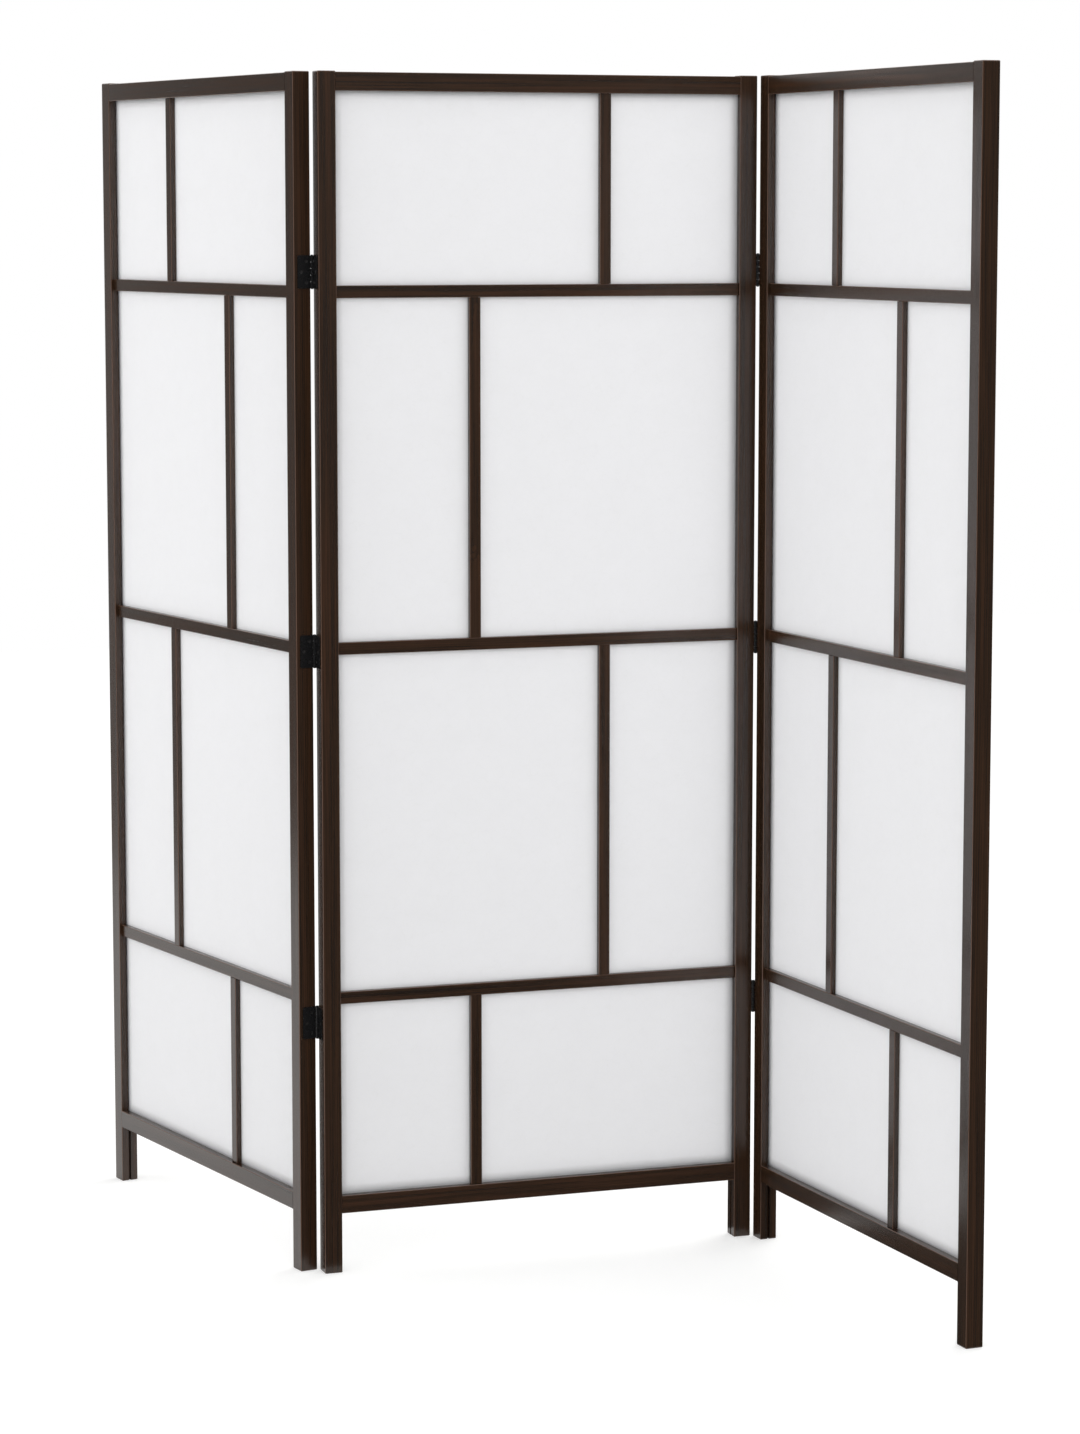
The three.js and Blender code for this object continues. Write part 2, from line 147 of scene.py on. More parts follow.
def along_grain(tree, local, run):
    """Turns a piece's own coordinates so that its grain runs along Z. A lattice glued up from
    level and upright bars gets both, and the height tells which bar a point is on."""
    if run == "upright":
        return local
    level = add(tree, "ShaderNodeMapping", {"Rotation": (0, math.pi / 2, 0)}, {"Vector": local})
    if run == "level":
        return level.outputs[0]
    place = add(tree, "ShaderNodeTexCoord")
    height = add(tree, "ShaderNodeSeparateXYZ", None, {"Vector": place.outputs["Object"]})
    on_bar = None
    for middle in CROSSBAR_HEIGHTS:
        near = add(
            tree,
            "ShaderNodeMath",
            {"operation": "COMPARE", 1: middle, 2: CROSSBAR_HALF},
            {0: height.outputs["Z"]},
        )
        if on_bar is not None:
            near = add(
                tree, "ShaderNodeMath", {"operation": "MAXIMUM"}, {0: near.outputs[0], 1: on_bar}
            )
        on_bar = near.outputs[0]
    both = add(
        tree,
        "ShaderNodeMix",
        {"data_type": "VECTOR"},
        {"Factor": on_bar, 4: local, 5: level.outputs[0]},
    )
    return both.outputs[1]


def stained_wood(piece, run, panel, random):
    """Satin lacquered, dark stained spruce for one piece. The rings are circles round a pith some
    centimetres beside the piece, so they show as lines along it and as arcs on its ends."""
    material, tree = bare_material("stained_spruce_" + piece)
    low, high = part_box(piece)
    centre = (low + high) / 2
    turn = FOLD[panel]
    own_x = centre.x * math.cos(turn) - centre.y * math.sin(turn)
    own_y = centre.x * math.sin(turn) + centre.y * math.cos(turn)
    place = add(tree, "ShaderNodeTexCoord")
    local = add(
        tree,
        "ShaderNodeMapping",
        {"Rotation": (0, 0, turn), "Location": (-own_x, -own_y, -centre.z)},
        {"Vector": place.outputs["Object"]},
    )
    grain = along_grain(tree, local.outputs[0], run)

    angle = random.uniform(0, 2 * math.pi)
    reach = random.uniform(PITH_NEAREST, PITH_FURTHEST)
    along = random.uniform(0, BOARD_LENGTH)
    from_pith = add(
        tree,
        "ShaderNodeMapping",
        {"Location": (reach * math.cos(angle), reach * math.sin(angle), along)},
        {"Vector": grain},
    )
    slow = add(
        tree,
        "ShaderNodeMapping",
        {"Scale": (1, 1, BEND_STRETCH)},
        {"Vector": from_pith.outputs[0]},
    )
    bend = add(
        tree,
        "ShaderNodeTexNoise",
        {"Scale": BENDS_PER_METRE, "Detail": 2},
        {"Vector": slow.outputs[0]},
    )
    centred = add(
        tree,
        "ShaderNodeVectorMath",
        {
            "operation": "MULTIPLY_ADD",
            1: (RING_BEND, RING_BEND, 0),
            2: (-RING_BEND / 2, -RING_BEND / 2, 0),
        },
        {0: bend.outputs["Color"]},
    )
    bent = add(
        tree,
        "ShaderNodeVectorMath",
        {"operation": "ADD"},
        {0: from_pith.outputs[0], 1: centred.outputs[0]},
    )
    rings = add(
        tree,
        "ShaderNodeTexWave",
        {
            "wave_type": "RINGS",
            "rings_direction": "Z",
            "wave_profile": "SAW",
            "Scale": WAVE_PERIOD / RING_WIDTH,
            "Distortion": 0.6,
            "Detail": 1,
        },
        {"Vector": bent.outputs[0]},
    )
    drawn_out = add(
        tree,
        "ShaderNodeMapping",
        {"Scale": (1, 1, FIBRE_STRETCH)},
        {"Vector": from_pith.outputs[0]},
    )
    fibres = add(
        tree,
        "ShaderNodeTexNoise",
        {"Scale": 1 / FIBRE_WIDTH, "Detail": 2, "Roughness": 0.6},
        {"Vector": drawn_out.outputs[0]},
    )
    streaks = add(
        tree,
        "ShaderNodeTexNoise",
        {"Scale": 1 / STREAK_WIDTH, "Detail": 3, "Roughness": 0.55},
        {"Vector": drawn_out.outputs[0]},
    )
    ringed = add(
        tree,
        "ShaderNodeMath",
        {"operation": "MULTIPLY_ADD", 1: RING_SHARE},
        {0: rings.outputs["Fac"], 2: streaks.outputs["Fac"]},
    )
    tone = add(
        tree,
        "ShaderNodeMath",
        {"operation": "MULTIPLY_ADD", 1: FIBRE_SHARE},
        {0: fibres.outputs["Fac"], 2: ringed.outputs[0]},
    )
    shift = random.uniform(-TONE_SHIFT, TONE_SHIFT)
    level_tone = add(
        tree,
        "ShaderNodeMapRange",
        {"From Min": TONE_LOW + shift, "From Max": TONE_HIGH + shift},
        {"Value": tone.outputs[0]},
    )
    stain = add(tree, "ShaderNodeValToRGB", None, {"Fac": level_tone.outputs[0]})
    stain.color_ramp.elements[0].color = linear(STAIN_DEEP)
    stain.color_ramp.elements[1].color = linear(STAIN_WARM)
    stain.color_ramp.elements.new(0.5).color = linear(STAIN)

    # A face's own normal tells an arris or an end from a long face
    facing = add(
        tree,
        "ShaderNodeMapping",
        {"vector_type": "VECTOR", "Rotation": (0, 0, turn)},
        {"Vector": place.outputs["Normal"]},
    )
    sides = add(tree, "ShaderNodeVectorMath", {"operation": "ABSOLUTE"}, {0: facing.outputs[0]})
    parts = add(tree, "ShaderNodeSeparateXYZ", None, {"Vector": sides.outputs[0]})
    flat = add(
        tree,
        "ShaderNodeMath",
        {"operation": "MAXIMUM"},
        {0: parts.outputs["X"], 1: parts.outputs["Y"]},
    )
    flattest = add(
        tree,
        "ShaderNodeMath",
        {"operation": "MAXIMUM"},
        {0: flat.outputs[0], 1: parts.outputs["Z"]},
    )
    # Painted highlight: arris facets are mixed towards a lighter brown, partly worn stain and
    # partly a painted highlight line
    arris = add(
        tree,
        "ShaderNodeMapRange",
        {"From Min": ARRIS_STARTS, "From Max": ARRIS_FULL, "To Max": ARRIS_SHARE},
        {"Value": flattest.outputs[0]},
    )
    with_arris_wear_and_highlight = add(
        tree,
        "ShaderNodeMix",
        {"data_type": "RGBA", 7: linear(ARRIS_WORN_AND_HIGHLIGHT)},
        {0: arris.outputs[0], 6: stain.outputs["Color"]},
    )
    coloured = with_arris_wear_and_highlight.outputs[2]
    if run != "both":
        end_side = parts.outputs["Z" if run == "upright" else "X"]
        end = add(
            tree,
            "ShaderNodeMapRange",
            {"From Min": END_STARTS, "From Max": END_FULL, "To Max": END_SHARE},
            {"Value": end_side},
        )
        with_end = add(
            tree,
            "ShaderNodeMix",
            {"data_type": "RGBA", 7: linear(STAIN_END)},
            {0: end.outputs[0], 6: coloured},
        )
        coloured = with_end.outputs[2]

    sheen = add(
        tree,
        "ShaderNodeMapRange",
        {"To Min": LACQUER_DULL, "To Max": LACQUER_BRIGHT},
        {"Value": level_tone.outputs[0]},
    )
    relief = add(
        tree,
        "ShaderNodeBump",
        {"Strength": GRAIN_RELIEF, "Distance": GRAIN_DEPTH},
        {"Height": tone.outputs[0]},
    )
    surface = add(
        tree,
        "ShaderNodeBsdfPrincipled",
        {"IOR": LACQUER_IOR},
        {"Base Color": coloured, "Roughness": sheen.outputs[0], "Normal": relief.outputs[0]},
    )
    add(tree, "ShaderNodeOutputMaterial", None, {"Surface": surface.outputs[0]})
    return material


runs = {
    "left_stile": "upright",
    "right_stile": "upright",
    "top_rail": "level",
    "bottom_rail": "level",
    **{f"crossbar_{number}": "level" for number in (1, 2, 3)},
    **{f"upright_{number}": "upright" for number in (1, 2, 3, 4)},
    "back_lattice": "both",
}
grain_random = np.random.default_rng(11)
for panel in ("left", "middle", "right"):
    for member, run in runs.items():
        piece = f"{panel}_panel_{member}"
        wood = stained_wood(piece, run, panel, grain_random)
        frame["nodes"][piece].data.materials.clear()
        frame["nodes"][piece].data.materials.append(wood)


# ---- Sheets -------------------------------------------------------------------------------------
# One translucent white sheet to a panel: long-fibre paper bonded with plastic film, as used on
# screens that have to take a knock. It is cut to reach into the grooves of posts and rails all
# round, and is held tight between the lattice in front and the lattice behind.

SHEET_EDGE = 0.0223  # panel's end to the sheet's edge, which stands in the groove
SHEET_LOW, SHEET_HIGH = 0.1163, 1.8262
SHEET_WIDTH = PANEL_WIDTH - 2 * SHEET_EDGE
SHEET_HEIGHT = SHEET_HIGH - SHEET_LOW
SHEET_THICKNESS = 0.0004
RIPPLE = 0.00012  # a tight sheet is never quite flat; this keeps clear of the bars
RIPPLES_ACROSS, RIPPLES_UP = 7, 11  # half waves over the sheet
RIPPLE_START = 1  # radians, at the lower edge
SHEET_COLUMNS, SHEET_LINES = 34, 86
SHEET_WHITE = "#f4f4f5"
SHEET_CLOUD = "#f1f1f2"
FIBRE_TINT = "#e8e8e7"
CLOUD_SIZE = 0.03
FIBRE_LENGTH = 0.016
FIBRE_WARP = 0.01
FIBRE_HALF = 0.03  # a fibre's half width, as a share of its length
FIBRE_STRENGTH = 0.2
PULP_RELIEF, PULP_DEPTH = 0.15, 0.0001
PAPER_ROUGHNESS, PAPER_IOR = 0.72, 1.4
SHARE_LET_THROUGH = 0.46


def grid_faces(columns, lines):
    """The numbers of a grid's points, counted line by line, and its four-sided faces."""
    index = np.arange(columns * lines).reshape(lines, columns)
    corners = (index[:-1, :-1], index[:-1, 1:], index[1:, 1:], index[1:, :-1])
    return index, np.stack(corners, axis=-1).reshape(-1, 4)


def sheet_surface(panel):
    """A slab over a grid. Its depth is the frame's middle plus a shallow ripple, the product of one
    sine across and one up the sheet, which fades to nothing at the edges. The back is the front
    set back by the thickness, and a strip round the edge closes it."""
    steps_across = np.linspace(0, 1, SHEET_COLUMNS)
    steps_up = np.linspace(0, 1, SHEET_LINES)
    across, up = np.meshgrid(steps_across, steps_up)
    fade = np.sin(np.pi * across) * np.sin(np.pi * up)
    wave_across = np.sin(RIPPLES_ACROSS * np.pi * across)
    wave_up = np.sin(RIPPLES_UP * np.pi * up + RIPPLE_START)
    ripple = RIPPLE * fade * wave_across * wave_up
    front = FRAME_DEPTH / 2 - SHEET_THICKNESS / 2 + ripple
    sides = [
        stand_up(panel, SHEET_EDGE + SHEET_WIDTH * across, depth, SHEET_LOW + SHEET_HEIGHT * up)
        for depth in (front, front + SHEET_THICKNESS)
    ]
    points = np.concatenate([side.reshape(-1, 3) for side in sides])
    index, front_faces = grid_faces(SHEET_COLUMNS, SHEET_LINES)
    back = SHEET_COLUMNS * SHEET_LINES
    back_faces = front_faces[:, ::-1] + back
    edge = np.concatenate([index[0, :-1], index[:-1, -1], index[-1, :0:-1], index[:0:-1, 0]])
    following = np.roll(edge, -1)
    rim = np.stack([following, edge, edge + back, following + back], axis=-1)
    return points, np.concatenate([front_faces, back_faces, rim])


def solid_piece(name, points, faces, material, smooth):
    """A new mesh object from points and faces, with its place in the mesh."""
    mesh = bpy.data.meshes.new(name)
    mesh.from_pydata(points.tolist(), [], list(faces))
    mesh.polygons.foreach_set("use_smooth", np.full(len(faces), smooth))
    mesh.materials.append(material)
    mesh.update()
    piece = bpy.data.objects.new(name, mesh)
    bpy.context.scene.collection.objects.link(piece)
    return piece


def bonded_paper():
    """Matt white paper that lets part of the light through. Its pulp lies in faint clouds, and
    single long fibres cross it: the borders between warped cells, tinted a little."""
    material, tree = bare_material("bonded_fibre_paper")
    place = add(tree, "ShaderNodeTexCoord")
    clouds = add(
        tree,
        "ShaderNodeTexNoise",
        {"Scale": 1 / CLOUD_SIZE, "Detail": 4, "Roughness": 0.6},
        {"Vector": place.outputs["Object"]},
    )
    pulp = add(
        tree,
        "ShaderNodeMix",
        {"data_type": "RGBA", 6: linear(SHEET_CLOUD), 7: linear(SHEET_WHITE)},
        {0: clouds.outputs["Fac"]},
    )
    stray = add(
        tree,
        "ShaderNodeTexNoise",
        {"Scale": 2 / FIBRE_LENGTH, "Detail": 2},
        {"Vector": place.outputs["Object"]},
    )
    warped = add(
        tree,
        "ShaderNodeVectorMath",
        {"operation": "MULTIPLY_ADD", 1: (FIBRE_WARP, FIBRE_WARP, FIBRE_WARP)},
        {0: stray.outputs["Color"], 2: place.outputs["Object"]},
    )
    cells = add(
        tree,
        "ShaderNodeTexVoronoi",
        {"feature": "DISTANCE_TO_EDGE", "Scale": 1 / FIBRE_LENGTH},
        {"Vector": warped.outputs[0]},
    )
    fibre = add(
        tree,
        "ShaderNodeMapRange",
        {"From Min": FIBRE_HALF, "From Max": 0.0, "To Max": FIBRE_STRENGTH},
        {"Value": cells.outputs["Distance"]},
    )
    colour = add(
        tree,
        "ShaderNodeMix",
        {"data_type": "RGBA", 7: linear(FIBRE_TINT)},
        {0: fibre.outputs[0], 6: pulp.outputs[2]},
    )
    relief = add(
        tree,
        "ShaderNodeBump",
        {"Strength": PULP_RELIEF, "Distance": PULP_DEPTH},
        {"Height": clouds.outputs["Fac"]},
    )
    face = add(
        tree,
        "ShaderNodeBsdfPrincipled",
        {"Roughness": PAPER_ROUGHNESS, "IOR": PAPER_IOR},
        {"Base Color": colour.outputs[2], "Normal": relief.outputs[0]},
    )
    through = add(tree, "ShaderNodeBsdfTranslucent", None, {"Color": colour.outputs[2]})
    mixed = add(
        tree,
        "ShaderNodeMixShader",
        {0: SHARE_LET_THROUGH},
        {1: face.outputs[0], 2: through.outputs[0]},
    )
    add(tree, "ShaderNodeOutputMaterial", None, {"Surface": mixed.outputs[0]})
    return material


paper = bonded_paper()
for panel in ("left", "middle", "right"):
    points, faces = sheet_surface(panel)
    piece = solid_piece(f"{panel}_panel_paper", points, faces, paper, True)
    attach(piece, f"{panel}_panel")
    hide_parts(f"{panel}_panel_sheet")


# ---- Hinges -------------------------------------------------------------------------------------
# Pressed steel butt hinges, three to a joint, with a thin black baked coat. The coat has the faint
# orange peel of a dipped finish and is a little greyer where the leaves have been handled.

COAT_BLACK = "#0c0c0d"
COAT_RUBBED = "#1c1c1d"
COAT_DULL, COAT_BRIGHT = 0.34, 0.22  # roughness of the black and of the rubbed patches
COAT_IOR = 1.5
PATCHES_PER_METRE = 180
PEEL_SIZE = 0.0009
PEEL_RELIEF, PEEL_DEPTH = 0.3, 0.00003


def black_coat():
    """Baked black coat on steel: almost black, with a satin shine that varies in small patches."""
    material, tree = bare_material("black_baked_coat")
    place = add(tree, "ShaderNodeTexCoord")
    patches = add(
        tree,
        "ShaderNodeTexNoise",
        {"Scale": PATCHES_PER_METRE, "Detail": 3},
        {"Vector": place.outputs["Object"]},
    )
    rubbed = add(
        tree,
        "ShaderNodeMix",
        {"data_type": "RGBA", 6: linear(COAT_BLACK), 7: linear(COAT_RUBBED)},
        {0: patches.outputs["Fac"]},
    )
    shine = add(
        tree,
        "ShaderNodeMapRange",
        {"To Min": COAT_DULL, "To Max": COAT_BRIGHT},
        {"Value": patches.outputs["Fac"]},
    )
    peel = add(
        tree,
        "ShaderNodeTexNoise",
        {"Scale": 1 / PEEL_SIZE, "Detail": 1},
        {"Vector": place.outputs["Object"]},
    )
    relief = add(
        tree,
        "ShaderNodeBump",
        {"Strength": PEEL_RELIEF, "Distance": PEEL_DEPTH},
        {"Height": peel.outputs["Fac"]},
    )
    surface = add(
        tree,
        "ShaderNodeBsdfPrincipled",
        {"IOR": COAT_IOR},
        {
            "Base Color": rubbed.outputs[2],
            "Roughness": shine.outputs[0],
            "Normal": relief.outputs[0],
        },
    )
    add(tree, "ShaderNodeOutputMaterial", None, {"Surface": surface.outputs[0]})
    return material


coat = black_coat()
for side in ("left", "right"):
    for place in ("top", "middle", "bottom"):
        for part in ("two_knuckle_leaf", "three_knuckle_leaf", "pin"):
            node = frame["nodes"][f"{side}_hinge_{place}_{part}"]
            node.data.materials.clear()
            node.data.materials.append(coat)


# ---- Screws -------------------------------------------------------------------------------------
# Countersunk wood screws with a cross recess, black plated, three to a leaf. They sit just below
# the leaf's face and run through it into the post.

HINGE_HEIGHTS = {"top": 1.54925, "middle": 0.97125, "bottom": 0.39325}
LEAF_FACE = 0.0003  # pin line to the face that the heads are sunk in
SCREW_PLACES = ((0.0095, 0.016), (0.0095, -0.016), (0.018, 0.0))  # from the pin, and up
HEAD_RADIUS = 0.0027
HEAD_SINK = 0.00016
NECK_RADIUS = 0.0015
POLE_RADIUS = 0.00005  # the small flat at the head's middle and at the tip
CONE_END = 0.0014
NECK_END = CONE_END + 0.0008
THREAD_START = CONE_END + 0.001
SHANK_END = 0.0125
TIP_END = 0.0155
THREAD_PITCH = 0.0013
THREAD_RISE = 0.00045
THREAD_STEEPNESS = 4  # a ridge fills half the pitch
RECESS_REACH = 0.0018
RECESS_HALF_WIDTH = 0.0004
RECESS_DEPTH = 0.0011
RECESS_WALL, RECESS_END = 0.00015, 0.0004  # width of the slopes beside and at the end of a slot
RECESS_RISE = 0.5  # share of the depth lost at the end of a slot
STEPS_ROUND, HEAD_STEPS, SHANK_STEPS = 32, 14, 40
STAINS_PER_METRE = 1500
PLATE_BRIGHT, PLATE_DULL = 0.22, 0.42
PLATED_BLACK = "#6e6c6c"


def screw_surface():
    """A closed surface over steps along the screw and round it. Step by step it crosses the head
    from its middle, follows the cone down, and runs along the shank to the tip. On the head the
    depth grows inside two crossed slots, most at the middle; on the shank the radius rises and
    falls with the distance along it less the turn's share of the pitch, which is a thread."""
    turn = np.linspace(0, 2 * np.pi, STEPS_ROUND, endpoint=False)
    head = np.linspace(POLE_RADIUS, HEAD_RADIUS, HEAD_STEPS)
    thread = np.linspace(THREAD_START, SHANK_END, SHANK_STEPS)
    radius = np.concatenate([head, np.full(2 + SHANK_STEPS, NECK_RADIUS), [POLE_RADIUS]])
    head_depth = np.full(HEAD_STEPS, HEAD_SINK)
    depth = np.concatenate([head_depth, [CONE_END, NECK_END], thread, [TIP_END]])
    r = np.repeat(radius[:, None], STEPS_ROUND, axis=1)
    d = np.repeat(depth[:, None], STEPS_ROUND, axis=1)
    a, b = np.abs(r * np.cos(turn)), np.abs(r * np.sin(turn))
    slot = np.clip((RECESS_HALF_WIDTH - np.minimum(a, b)) / RECESS_WALL + 0.5, 0, 1)
    reach = np.clip((RECESS_REACH - np.maximum(a, b)) / RECESS_END, 0, 1)
    on_head = np.zeros_like(r)
    on_head[:HEAD_STEPS] = 1
    fall = 1 - RECESS_RISE * np.maximum(a, b) / RECESS_REACH
    d = d + on_head * slot * reach * RECESS_DEPTH * fall
    wave = np.mod(d / THREAD_PITCH - turn / (2 * np.pi), 1)
    ridge = np.maximum(0, 1 - np.abs(wave - 0.5) * THREAD_STEEPNESS) * THREAD_RISE
    # The thread leaves out the shank's first and last ring
    on_shank = np.zeros_like(r)
    on_shank[HEAD_STEPS + 3 : -2] = 1
    r = r + on_shank * ridge
    points = np.stack([d, r * np.cos(turn), r * np.sin(turn)], axis=-1)
    index = np.arange(len(radius) * STEPS_ROUND).reshape(len(radius), STEPS_ROUND)
    beside = np.roll(index, -1, axis=1)
    sides = np.stack([index[:-1], beside[:-1], beside[1:], index[1:]], axis=-1).reshape(-1, 4)
    ends = [index[0, ::-1].tolist(), index[-1].tolist()]
    return points.reshape(-1, 3), sides.tolist() + ends


screw_points, screw_faces = screw_surface()


def black_plate():
    """Black plated steel: a dark metal that still catches the light on its rim and recess."""
    material, tree = bare_material("black_plated_steel")
    place = add(tree, "ShaderNodeTexCoord")
    stains = add(
        tree,
        "ShaderNodeTexNoise",
        {"Scale": STAINS_PER_METRE, "Detail": 2},
        {"Vector": place.outputs["Object"]},
    )
    dulled = add(
        tree,
        "ShaderNodeMapRange",
        {"To Min": PLATE_BRIGHT, "To Max": PLATE_DULL},
        {"Value": stains.outputs["Fac"]},
    )
    surface = add(
        tree,
        "ShaderNodeBsdfPrincipled",
        {"Base Color": linear(PLATED_BLACK), "Metallic": 1.0},
        {"Roughness": dulled.outputs[0]},
    )
    add(tree, "ShaderNodeOutputMaterial", None, {"Surface": surface.outputs[0]})
    return material


def leaf_screws(side, height, swings, random):
    """Three screws of one leaf. Each is moved to its hole in a leaf that stands on the +X side of
    its pin; a half turn about Z then serves the right joint, a half turn about Y the leaf that
    swings, and the fold about the pin puts that one in place."""
    points, faces = [], []
    for reach, rise in SCREW_PLACES:
        turn = random.uniform(0, 2 * np.pi)
        a = screw_points[:, 1] * math.cos(turn) - screw_points[:, 2] * math.sin(turn)
        b = screw_points[:, 1] * math.sin(turn) + screw_points[:, 2] * math.cos(turn)
        x, y, z = LEAF_FACE + screw_points[:, 0], a - reach, b + rise
        if swings:
            x, z = -x, -z
        if side == "right":
            x, y = -x, -y
        fold = FOLD[side] if swings else 0.0
        pin_x, pin_y = pins[side][0], pins[side][1]
        start = sum(len(block) for block in points)
        turned = [
            pin_x + x * math.cos(fold) + y * math.sin(fold),
            pin_y - x * math.sin(fold) + y * math.cos(fold),
            height + z,
        ]
        points.append(np.stack(turned, axis=-1))
        faces += [[corner + start for corner in face] for face in screw_faces]
    return np.concatenate(points), faces


plate = black_plate()
screw_random = np.random.default_rng(5)
for side in ("left", "right"):
    for place, height in HINGE_HEIGHTS.items():
        for part, swings in (("two_knuckle_leaf", False), ("three_knuckle_leaf", True)):
            points, faces = leaf_screws(side, height, swings, screw_random)
            piece = solid_piece(f"{side}_hinge_{place}_{part}_screws", points, faces, plate, False)
            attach(piece, f"{side}_panel" if swings else "middle_panel")


# ---- Floor and light ----------------------------------------------------------------------------
# A white studio: a matt floor that keeps the screen's soft shadow, a white backdrop all round, and
# large softboxes in front and on both sides behind. A strip lamp on the left draws a thin light
# line along arrises and hinge barrels.

FLOOR_WHITE = "#d6d6d5"
LIFT_NEAR, LIFT_FAR = 0.42, 0.54  # white that the floor adds to its own shading
NEAR, FAR = 2.0, 6.0  # metres from the screen
FLOOR_HALF = 9.0
BACKDROP = 1.0
AMBIENT = 0.83


def to_eye_or_polish(tree):
    """1 on the way to the camera, also by way of something polished or clear, and 0 for the light
    that falls on matt things."""
    path = add(tree, "ShaderNodeLightPath")
    seen = add(
        tree,
        "ShaderNodeMath",
        {"operation": "MAXIMUM"},
        {0: path.outputs["Is Camera Ray"], 1: path.outputs["Is Glossy Ray"]},
    )
    seen_through = add(
        tree,
        "ShaderNodeMath",
        {"operation": "MAXIMUM"},
        {0: seen.outputs[0], 1: path.outputs["Is Transmission Ray"]},
    )
    return seen_through.outputs[0]


def floor_white():
    """Matt white floor. To the camera and in reflections it is lifted to the backdrop's white, on
    top of its plain shading, so that its shadow stays. The lift is greater far off, where the
    lamps hardly reach."""
    material, tree = bare_material("white_studio_floor")
    matt = add(tree, "ShaderNodeBsdfDiffuse", {"Color": linear(FLOOR_WHITE)})
    place = add(tree, "ShaderNodeTexCoord")
    distance = add(
        tree, "ShaderNodeVectorMath", {"operation": "LENGTH"}, {0: place.outputs["Object"]}
    )
    amount = add(
        tree,
        "ShaderNodeMapRange",
        {"From Min": NEAR, "From Max": FAR, "To Min": LIFT_NEAR, "To Max": LIFT_FAR},
        {"Value": distance.outputs["Value"]},
    )
    lift = add(tree, "ShaderNodeEmission", None, {"Strength": amount.outputs[0]})
    both = add(tree, "ShaderNodeAddShader", None, {0: matt.outputs[0], 1: lift.outputs[0]})
    mixed = add(
        tree,
        "ShaderNodeMixShader",
        None,
        {0: to_eye_or_polish(tree), 1: matt.outputs[0], 2: both.outputs[0]},
    )
    add(tree, "ShaderNodeOutputMaterial", None, {"Surface": mixed.outputs[0]})
    return material


floor_points = np.array([[-1, -1, 0], [1, -1, 0], [1, 1, 0], [-1, 1, 0]]) * FLOOR_HALF
floor = solid_piece("floor", floor_points, np.array([[0, 1, 2, 3]]), floor_white(), False)

# Cloths keep the white room out of the polish of the wood, as flags do in a studio. They are met
# by reflections alone: grey cloth round three sides, and dark cloth in front of the screen and
# behind it, which hangs down and then lies on the floor up to the middle panel.
ROUND_RADIUS = 4.2
ROUND_TOP = 5.0
ROUND_STEPS = 41
ROUND_GREY = 0.1
OPENING = (math.radians(60), math.radians(121.5))  # counted from +X; the backdrop shows here
DARK_GREY = 0.07
DARK_START = 0.04  # from the middle panel's line
DARK_REACH = 2.3
DARK_TOP = 3.2
DARK_RIGHT = 5.0
CLOTH_LIFT = 0.002


def flag(name, points, grey):
    """A cloth over a grid of points, as a glow of one grey that only reflections meet."""
    lines, columns = points.shape[:2]
    faces = grid_faces(columns, lines)[1]
    material, tree = bare_material(name + "_cloth")
    cloth = add(tree, "ShaderNodeEmission", {"Color": (grey, grey, grey, 1), "Strength": 1.0})
    add(tree, "ShaderNodeOutputMaterial", None, {"Surface": cloth.outputs[0]})
    hung = solid_piece(name, points.reshape(-1, 3), faces, material, False)
    hung.visible_camera = hung.visible_diffuse = hung.visible_transmission = False
    hung.visible_volume_scatter = hung.visible_shadow = False


turns = np.linspace(OPENING[1], OPENING[0] + 2 * math.pi, ROUND_STEPS)
heights = np.array([[0.0], [ROUND_TOP]])
ring_x, ring_y = ROUND_RADIUS * np.cos(turns), ROUND_RADIUS * np.sin(turns)
round_points = np.stack(np.broadcast_arrays(ring_x, ring_y, heights), axis=-1)
flag("flag_all_round", round_points, ROUND_GREY)

fall = np.array([[DARK_START, CLOTH_LIFT], [DARK_REACH, CLOTH_LIFT], [DARK_REACH, DARK_TOP]])
for name, side, left in (("flag_in_front", -1, -1.4), ("flag_behind", 1, 0.0)):
    across = np.array([left, DARK_RIGHT])
    hung_points = np.broadcast_arrays(across, side * fall[:, :1], fall[:, 1:])
    flag(name, np.stack(hung_points, axis=-1), DARK_GREY)

world = bpy.data.worlds.new("white_studio")
bpy.context.scene.world = world
world.use_nodes = True
sky = world.node_tree
sky.nodes.clear()
strength = add(
    sky,
    "ShaderNodeMapRange",
    {"To Min": AMBIENT, "To Max": BACKDROP},
    {"Value": to_eye_or_polish(sky)},
)
glow = add(sky, "ShaderNodeBackground", {"Color": (1, 1, 1, 1)}, {"Strength": strength.outputs[0]})
add(sky, "ShaderNodeOutputWorld", None, {"Surface": glow.outputs[0]})


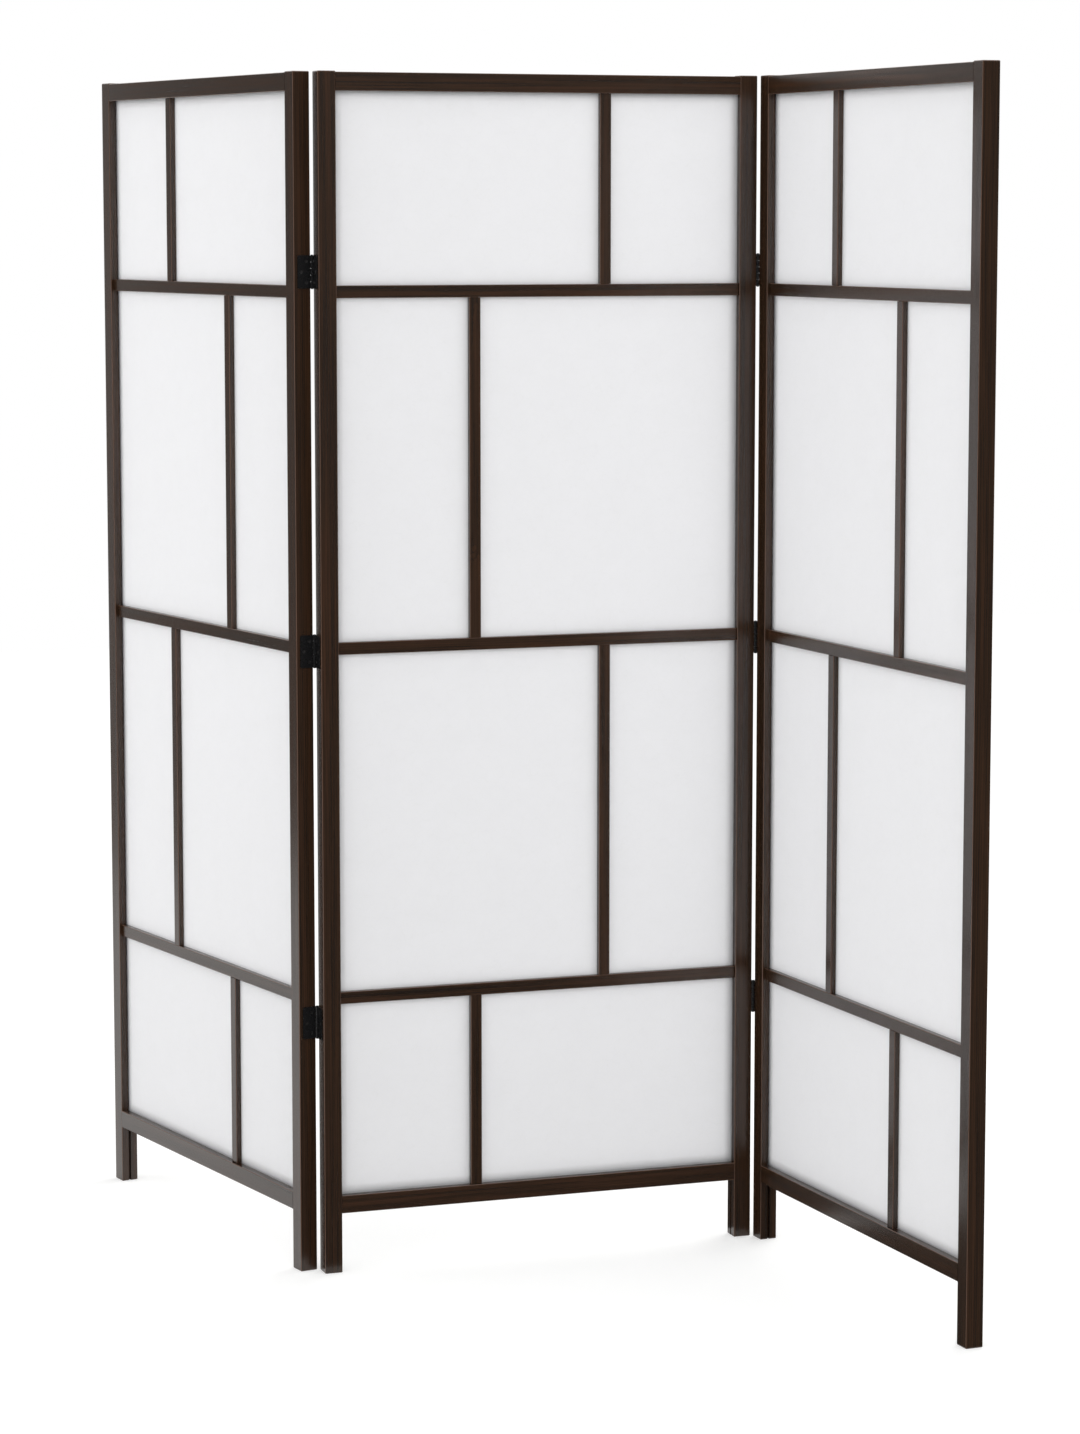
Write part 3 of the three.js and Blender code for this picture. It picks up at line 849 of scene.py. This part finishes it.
def softbox(name, place, aim, size, watts, mirrored=True):
    """A rectangular lamp at a place, turned towards a point. The size is its width and height.
    Polish can be kept from mirroring it."""
    lamp = bpy.data.lights.new(name, "AREA")
    lamp.shape = "RECTANGLE"
    lamp.size, lamp.size_y = size
    lamp.energy = watts
    box = bpy.data.objects.new(name, lamp)
    bpy.context.scene.collection.objects.link(box)
    box.location = place
    box.rotation_mode = "QUATERNION"
    box.rotation_quaternion = (Vector(aim) - Vector(place)).to_track_quat("-Z", "Y")
    box.visible_glossy = mirrored


softbox("softbox_front", (-0.4, -5.0, 3.2), (0.0, 0.0, 0.9), size=(4.0, 2.6), watts=68)
softbox("strip_left", (-3.9, -2.2, 1.7), (0.0, 0.0, 1.0), size=(0.7, 2.2), watts=9)
softbox("softbox_back_left", (-4.0, 1.4, 1.9), (0.0, 0.0, 0.9), size=(2.6, 2.4), watts=30)
# Polish doesn't mirror this one: it stands so near that the right panel's back would turn silvery
softbox(
    "softbox_back_right",
    (2.0, 1.3, 1.5),
    (0.5, 0.0, 1.0),
    size=(1.6, 1.8),
    watts=27,
    mirrored=False,
)


# ---- Camera -------------------------------------------------------------------------------------
# Eye level, some six metres off and well to the left of the middle panel's front.

CAMERA_PLACE = (-2.06724, -5.91479, 1.63831)
CAMERA_YAW = math.radians(-19.64)
CAMERA_PITCH = math.radians(7.09)
LENS = 101.8
SENSOR_WIDTH = 36.0

camera_data = bpy.data.cameras.new("camera")
camera_data.lens = LENS
camera_data.sensor_width = SENSOR_WIDTH
camera = bpy.data.objects.new("camera", camera_data)
bpy.context.scene.collection.objects.link(camera)
camera.location = CAMERA_PLACE
ahead = Vector(
    (
        -math.sin(CAMERA_YAW) * math.cos(CAMERA_PITCH),
        math.cos(CAMERA_YAW) * math.cos(CAMERA_PITCH),
        -math.sin(CAMERA_PITCH),
    )
)
camera.rotation_mode = "QUATERNION"
camera.rotation_quaternion = ahead.to_track_quat("-Z", "Y")
bpy.context.scene.camera = camera
bpy.context.scene.view_settings.view_transform = "Standard"
